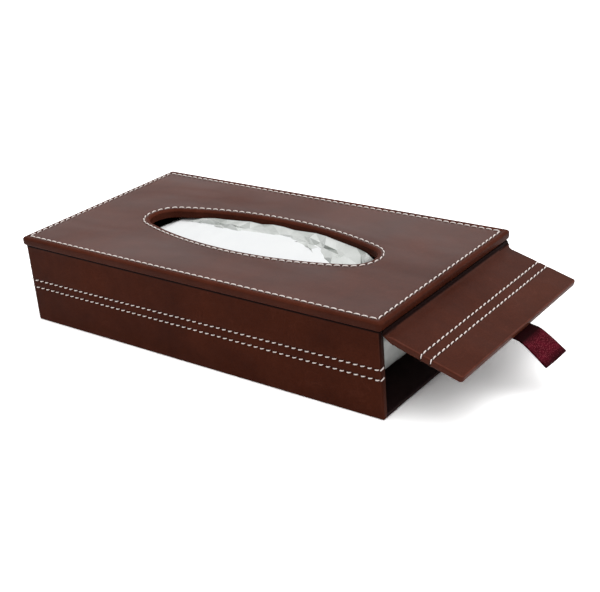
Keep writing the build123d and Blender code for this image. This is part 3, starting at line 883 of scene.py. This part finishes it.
row = [v for v, _, _ in rim]
base = [(v.co.copy(), way, number) for v, way, number in rim]
# the rim's upper turn is lighter: partly edge wear, partly a painted highlight where the rounded edge catches
# light
rim_wear_and_highlight, plain_rim = 0.7, 0.1
for turn in (22, 45, 67, 90):
    lean = radians(turn)
    places = []
    for spot, way, number in base:
        curled = curl(number)
        reach = flap_round * (lean / (pi / 2) * (1 - curled) + sin(lean) * curled)
        places.append(spot + way * reach - strip[number][1] * flap_round * (1 - cos(lean)) * curled)
    row = draw_out(flap_mesh, row, places)
    for v, (_, _, number) in zip(row, base):
        v[wear_layer] = (rim_wear_and_highlight if turn < 60 else plain_rim) * curl(number)
inside = [k for k, (_, _, number) in enumerate(base) if strip[number][2] > 0]
row, base = [row[k] for k in inside], [base[k] for k in inside]
lower = flap_thickness - flap_round
row = draw_out(flap_mesh, row, [spot + way * flap_round - flap_out * lower * curl(n) for spot, way, n in base])
for turn in (30, 60, 90):
    lean = radians(turn)
    out, down = flap_round * cos(lean), lower + flap_round * sin(lean)
    row = draw_out(flap_mesh, row, [spot + way * out - flap_out * down * curl(n) for spot, way, n in base])
margin = []
for spot, _, number in base:
    along = min(strip[number][2], flap_reach - turn_in)
    across = clamped(spot.y, flap_half_width - turn_in)
    margin.append(on_flap(along, across, flap_thickness * curl(number)))
row = draw_out(flap_mesh, row, margin)
bmesh.ops.remove_doubles(flap_mesh, verts=flap_mesh.verts, dist=0.0005)
bmesh.ops.recalc_face_normals(flap_mesh, faces=flap_mesh.faces)
for v in flap_mesh.verts:
    v[polish_layer] = (0.17 + 0.05 * v.co.y / flap_half_width) * (1 - v[painted_shade_layer])
up = max(flap_mesh.faces, key=lambda f: f.calc_center_median().z)
if up.normal.z < 0:
    bmesh.ops.reverse_faces(flap_mesh, faces=flap_mesh.faces)
flap_covering = finish_piece(
    flap_mesh, "flap_covering", oxblood_leather, replaced=("hinge_leather", "flap_leather")
)
thicken(flap_covering, "leather_thickness", cover_leather, -1)
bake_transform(flap_covering)

flap_threads = bmesh.new()
for along in flap_rows_along:
    reach = flap_half_width - flap_round
    line = straight(on_flap(along, -reach), on_flap(along, reach), flap_out)
    sew(flap_threads, line, [k * flap_step for k in range(flap_stitches + 1)], lift=-0.06)
    for side in (-1, 1):
        ways = [flap_out * cos(radians(t)) + Vector((0, side * sin(radians(t)), 0)) for t in range(0, 181, 20)]
        points = [on_flap(along, side * reach, flap_round) + way * flap_round for way in ways]
        points = points[:5] + [p - flap_out * (flap_thickness - 2 * flap_round) for p in points[4:]]
        ways = ways[:5] + ways[4:]
        line, length = round_line(points, ways)
        sew(flap_threads, line, [-0.5, length * 0.8], -side * 0.3, lift=-0.37, share=1.15)
finish_piece(flap_threads, "flap_stitching", pale_thread, body="flap")

# ---------------------------------------------------------------- pull ribbon
# A satin ribbon, folded double. Its ends are glued to the back of the flap, and the loop hangs from the
# flap's outer edge with its fold pinched flat.

ribbon_half_width, ribbon_cloth = 9.0, 0.3
tail_half_gap, tip_fold = 0.16, 0.38
satin, tree = start_material("burgundy_satin")
along_cloth = add_node(tree, "ShaderNodeUVMap", uv_map="cloth").outputs[0]
drawn = mapped(tree, along_cloth, Scale=(1.0, 2.2, 1.0))
weft = wave_value(tree, along_cloth, 1.1, "Y", Distortion=1.5, Detail=2.0)
glint = noise_value(tree, drawn, 1.5, Detail=1.0, Roughness=0.6)
shade = noise_value(tree, along_cloth, 0.16, Detail=2.0)
from_tip = add_node(tree, "ShaderNodeSeparateXYZ", {"Vector": along_cloth}).outputs["Y"]
# painted shade at the ribbon's root, where it goes in under the flap, and at its tip
ends = maths(tree, "MAXIMUM", spread(tree, from_tip, 13.0, 17.0), spread(tree, from_tip, 5.0, 1.0, 0.0, 0.75))
ground = mixed(tree, spread(tree, shade, 0.35, 0.65), (0.05, 0.0022, 0.006, 1), (0.1, 0.005, 0.014, 1))
sunk = mixed(tree, ends, ground, (0.01, 0.0006, 0.0012, 1))
# painted glints: fine bright specks of the satin's sheen, kept off the shaded ends
painted_glints = maths(tree, "MULTIPLY", spread(tree, glint, 0.6, 0.68), maths(tree, "SUBTRACT", 1.0, ends))
lit = mixed(tree, painted_glints, sunk, (0.4, 0.075, 0.1, 1))
close_material(
    tree, lit, weft, bump=0.5, distance=0.00012, Roughness=spread(tree, glint, 0.3, 0.7, 0.35, 0.6),
    Specular_IOR_Level=0.015, Anisotropic=0.3
)

# the line between the two plies: along the flap's back, then out past its edge and down to the tip
ribbon_line = [on_flap(31.6, 0, 3.9), on_flap(36.0, 0, 3.9), on_flap(40.2, 0, 3.92)]
for knots in (
    ((159.4, 28.95), (161.2, 28.5), (162.6, 28.4), (164.2, 27.7)),
    ((164.2, 27.7), (167.4, 26.3), (171.4, 22.8), (177.5, 18.15)),
):
    knots = [Vector((x, 0, z)) for x, z in knots]
    ribbon_line += interpolate_bezier(*knots, 12)[0 if knots[0].x < 160 else 1:]
# up one ply from its glued end, round the fold at the tip, and back down the other
loop_start, last = 3, len(ribbon_line) - 1
ribbon_path = []
for side in (1, -1):
    ply = []
    for k, point in enumerate(ribbon_line):
        ahead = (ribbon_line[min(k + 1, last)] - ribbon_line[max(k - 1, 0)]).normalized()
        way = Vector((-ahead.z, 0, ahead.x))
        free = max(0, k - loop_start) / (last - loop_start)
        opened = sin(min(1, 1.8 * max(0, free - 0.3)) * pi / 2)
        half = tail_half_gap + (tip_fold - tail_half_gap) * opened
        ply.append((point + way * half * side, free))
    ribbon_path += ply if side > 0 else list(reversed(ply))
    if side > 0:
        for turn in (45, 90, 135):
            lean = radians(turn)
            round_tip = way * tip_fold * cos(lean) + ahead * tip_fold * sin(lean)
            ribbon_path.append((ribbon_line[-1] + round_tip, 1.0))

ribbon_mesh = bmesh.new()
ribbon_columns = 24
bmesh.ops.create_grid(ribbon_mesh, x_segments=ribbon_columns, y_segments=len(ribbon_path) - 1, size=1)
cloth_map = ribbon_mesh.loops.layers.uv.new("cloth")
lengths = [0.0]
for (a, _), (b, _) in zip(ribbon_path, ribbon_path[1:]):
    lengths.append(lengths[-1] + (b - a).length)
twist_along, twist_up, hollow = 0.75, 0.55, 0.25
for v in ribbon_mesh.verts:
    across = v.co.x
    number = round((v.co.y + 1) / 2 * (len(ribbon_path) - 1))
    for loop in v.link_loops:
        loop[cloth_map].uv = (across * ribbon_half_width, abs(lengths[number] - lengths[-1] / 2))
    point, free = ribbon_path[number]
    seed = 1.5 if number < len(ribbon_path) / 2 else 6.5
    swell = 0.12 * free * noise.noise(Vector((across * 1.3, point.x / 7, seed)))
    lean = free * free
    up = twist_up * across * lean + swell - hollow * lean * (1 - across * across)
    v.co = point + Vector((twist_along * across * lean, across * ribbon_half_width, up))
pull = finish_piece(ribbon_mesh, "ribbon_loop", satin, replaced=("ribbon_tail", "pull_ribbon"))
thicken(pull, "cloth_thickness", ribbon_cloth, 0)
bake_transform(pull)

# ---------------------------------------------------------------- tissue pack
# A stack of folded tissues in a soft film pillow, slit along its top. The uppermost tissue is drawn up
# through the slit and spread under the oval, and the slit's torn film stands crumpled behind it.

tissue_paper, tree = start_material("tissue_paper")
place = object_place(tree)
crepe = noise_value(tree, place, 1700.0, Detail=4.0, Roughness=0.7)
soft = noise_value(tree, place, 60.0, Detail=3.0)
sheet_white = mixed(tree, soft, (0.9, 0.92, 0.93, 1), (0.96, 0.97, 0.97, 1))
close_material(tree, sheet_white, crepe, bump=0.25, distance=0.00015, Roughness=0.85, Specular_IOR_Level=0.2)

stacked_tissue, tree = start_material("stacked_tissue")
layers = wave_value(tree, object_place(tree), 700.0, "Z", Distortion=0.8, Detail=2.0)
layered = mixed(tree, layers, (0.55, 0.56, 0.56, 1), (0.86, 0.87, 0.87, 1))
close_material(tree, layered, layers, bump=0.6, distance=0.0004, Roughness=0.9)
dress("tissue_stack", stacked_tissue)

milky_film, tree = start_material("milky_film")
ripple = noise_value(tree, object_place(tree), 90.0, Detail=4.0, Distortion=1.5)
film_tint = mixed(tree, spread(tree, ripple, 0.3, 0.7), (0.76, 0.79, 0.76, 1), (0.9, 0.92, 0.9, 1))
# painted shade on some facets of the torn lip, partly film that is darker where it lies doubled
film_tint = mixed(tree, attribute(tree, "fold_shade"), film_tint, (0.4, 0.43, 0.4, 1))
close_material(
    tree, film_tint, ripple, bump=0.3, distance=0.0005, Roughness=0.22, Specular_IOR_Level=0.5, Alpha=0.86
)

pack_low_x, pack_high_x, pack_half_width = -90.0, 110.0, 56.0
pack_low_z, pack_crease_z, pack_top = 2.5, 26.0, 42.0
pack_corner, pack_shoulder, pack_foot = 9.0, 20.0, 26.0
pack_seam, pack_pull_in = 0.2, 2.5
slit_half_length, slit_half_width = 66.0, 6.0
stations = [0, 0.4, 1.2, 2.4, 4, 6, 8.5, 11.5, 15, 20]
middle_start, middle_parts = pack_low_x + stations[-1], 32
middle_length = pack_high_x - stations[-1] - middle_start
along_pack = [pack_low_x + s for s in stations]
along_pack += [middle_start + middle_length * k / middle_parts for k in range(1, middle_parts)]
along_pack += [pack_high_x - s for s in reversed(stations)]


def pack_section(x):
    """Points round the pillow at x, from the middle of its underside."""
    end_gap = min(x - pack_low_x, pack_high_x - x)
    rise = sqrt(max(0.0, 1 - (1 - min(1, end_gap / pack_shoulder)) ** 2))
    drop = sqrt(max(0.0, 1 - (1 - min(1, end_gap / pack_foot)) ** 2))
    top = pack_crease_z + pack_seam + (pack_top - pack_crease_z - pack_seam) * rise
    low = pack_crease_z - pack_seam - (pack_crease_z - pack_seam - pack_low_z) * drop
    radius = min(pack_corner, (top - low) / 2)
    y = pack_half_width - radius - pack_pull_in * (1 - rise)
    spots = []
    high, low_centre = top - radius, low + radius
    for cy, cz, start in ((y, low_centre, -90), (y, high, 0), (-y, high, 90), (-y, low_centre, 180)):
        for turn in range(0, 91, 15):
            lean = radians(start + turn)
            spots.append(Vector((x, cy + radius * cos(lean), cz + radius * sin(lean))))
        runs = 24 if start in (0, 180) else 6
        ny, nz = (-cy, cz) if start in (0, 180) else (cy, low + top - cz)
        a = spots[-1]
        b = Vector((x, ny + radius * cos(radians(start + 90)), nz + radius * sin(radians(start + 90))))
        spots += [a.lerp(b, k / runs) for k in range(1, runs)]
    for spot in spots:
        if spot.z > pack_low_z + 0.3:
            way = Vector((0, spot.y / 90, (spot.z - pack_crease_z) / 20)).normalized()
            gather = 1.4 * (1 - rise) * noise.noise(Vector((spot.x / 22, spot.y / 4.5, spot.z / 12)))
            wrinkle = abs(noise.noise(Vector((spot.x / 26, spot.y / 17, spot.z / 15 + 4))))
            spot += way * (gather + 0.7 * wrinkle)
    return spots


film_mesh = bmesh.new()
section = pack_section(along_pack[0])
bmesh.ops.create_circle(film_mesh, segments=len(section), radius=1)
row = list(film_mesh.verts)
for v, spot in zip(row, section):
    v.co = spot
film_mesh.faces.new(row)
row.append(row[0])
for x in along_pack[1:]:
    section = pack_section(x)
    row = draw_out(film_mesh, row, section + section[:1])
film_mesh.faces.new(row[:-1])
bmesh.ops.recalc_face_normals(film_mesh, faces=film_mesh.faces)
slit_faces = []
for face in film_mesh.faces:
    spot = face.calc_center_median() - opening_middle
    if spot.z > pack_top - 1 and abs(spot.x) < slit_half_length and abs(spot.y) < slit_half_width:
        slit_faces.append(face)
bmesh.ops.delete(film_mesh, geom=slit_faces, context="FACES")
film_pillow = finish_piece(film_mesh, "film_pillow", milky_film, body="box", replaced=("film_wrapper",))

# the drawn-up tissue: nearly flat under the oval, turned down at its edges
tissue_mesh = bmesh.new()
bmesh.ops.create_grid(tissue_mesh, x_segments=130, y_segments=56, size=1)
tissue_middle, tissue_half = Vector((-3.0, 3.5, 0)), Vector((71.0, 29.0, 0))
tissue_edge, tissue_rest, tissue_rise, tissue_sink = 9, 0.75, 2.1, 1.7
corner_x, corner_y, corner_reach = 45, 6, 22
lip_turns = (
    (-62, 18), (-43, 14.5), (-28, 11), (-10, 12.5), (10, 16.5), (22, 14.5), (35, 10), (46, 3), (54, -1),
    (66, -4), (74, -5),
)


def lip_front(x):
    """Where the crumpled lip begins, across the box."""
    for (a, start), (b, end) in zip(lip_turns, lip_turns[1:]):
        if x <= b:
            return start + (end - start) * max(0, x - a) / (b - a)
    return lip_turns[-1][1]


def far_rim(x):
    """The far edge of the oval."""
    x = abs(x - opening_middle.x)
    if x < opening_end_x:
        return opening_middle.y - opening_side_y + sqrt(opening_side**2 - x * x)
    return opening_middle.y + sqrt(max(0, opening_end**2 - (x - opening_end_x) ** 2))


for v in tissue_mesh.verts:
    x, y = tissue_middle.x + v.co.x * tissue_half.x, tissue_middle.y + v.co.y * tissue_half.y
    out_x, out_y = abs(v.co.x) * tissue_half.x, abs(v.co.y) * tissue_half.y
    corner = max(0, hypot(max(0, out_x - corner_x), max(0, out_y - corner_y)) - corner_reach)
    gap = min((1 - abs(v.co.x)) * tissue_half.x, (1 - abs(v.co.y)) * tissue_half.y) - 0.8 * corner
    slack = 0.7 * noise.noise(Vector((x / 24, y / 15, 0.4))) + 0.35 * noise.noise(Vector((x / 7, y / 9, 2.2)))
    sunk = tissue_sink * falls(y - lip_front(x) - 1.5, 5)
    lift = falls(gap, tissue_edge) * (tissue_rise + 0.55 * slack - sunk)
    v.co = Vector((x, y, pack_top + tissue_rest + lift))
drawn_tissue = finish_piece(
    tissue_mesh, "drawn_tissue", tissue_paper, body="box", replaced=("loose_tissue",)
)
thicken(drawn_tissue, "paper_thickness", 0.12, 1)

# the torn lip of the slit: film creased into flat facets, pushed up against the far rim of the oval
lip_mesh = bmesh.new()
lip_columns, lip_rows = 17, 6
lip_low_x, lip_high_x = -60, 72
lip_end_z, lip_rise, lip_foot = 45.6, 2.8, 3.0
jolt_x, jolt_y, jolt_z = 4.5, 2.2, 2.0
bmesh.ops.create_grid(lip_mesh, x_segments=lip_columns, y_segments=lip_rows, size=1)
for v in lip_mesh.verts:
    column, row = round((v.co.x + 1) / 2 * lip_columns), round((v.co.y + 1) / 2 * lip_rows)
    jolt = [noise.cell(Vector((column + 0.5, row + 0.5, seed + 0.5))) - 0.5 for seed in (1, 2, 3)]
    x = lip_low_x + (lip_high_x - lip_low_x) * column / lip_columns
    front, rim_y = lip_front(x), far_rim(x) - 0.5
    end = falls(min(x - lip_low_x, lip_high_x - x), 12)
    rim_z = lip_end_z + lip_rise * end + 0.7 * min(1, max(0, x / 30)) * end
    if row < 4:
        share = row / 4
        x += jolt_x * jolt[0]
        y = min(front + (rim_y - 1.5 - front) * share + jolt_y * jolt[1], far_rim(x) - 1.2)
        z = pack_top + lip_foot + (rim_z - pack_top - lip_foot - 0.6) * share
        z += jolt_z * jolt[2] + 0.5 if row else 0.4 * jolt[2]
    elif row == 4:
        y, z = rim_y, rim_z + 0.5 * jolt[2] * end
    else:
        y, z = (rim_y, 45.2) if row == 5 else (rim_y + 4, 44.2)
    v.co = Vector((x, y, z))
bmesh.ops.triangulate(lip_mesh, faces=lip_mesh.faces, quad_method="SHORT_EDGE")
# random facets get painted shade that stands in for their creases' shading, partly doubled film
fold_shade_layer = lip_mesh.faces.layers.float.new("fold_shade")
for face in lip_mesh.faces:
    facet_shade = noise.cell(face.calc_center_median() / 3)
    face[fold_shade_layer] = 0.75 * facet_shade**3 + 0.1
lip_area = sum(face.calc_area() for face in lip_mesh.faces) * MM**2
film_lip = finish_piece(lip_mesh, "film_lip", milky_film, sharp=8, body="box")
for film in (film_lip, film_pillow):
    thicken(film, "film_thickness", 0.1, 1)
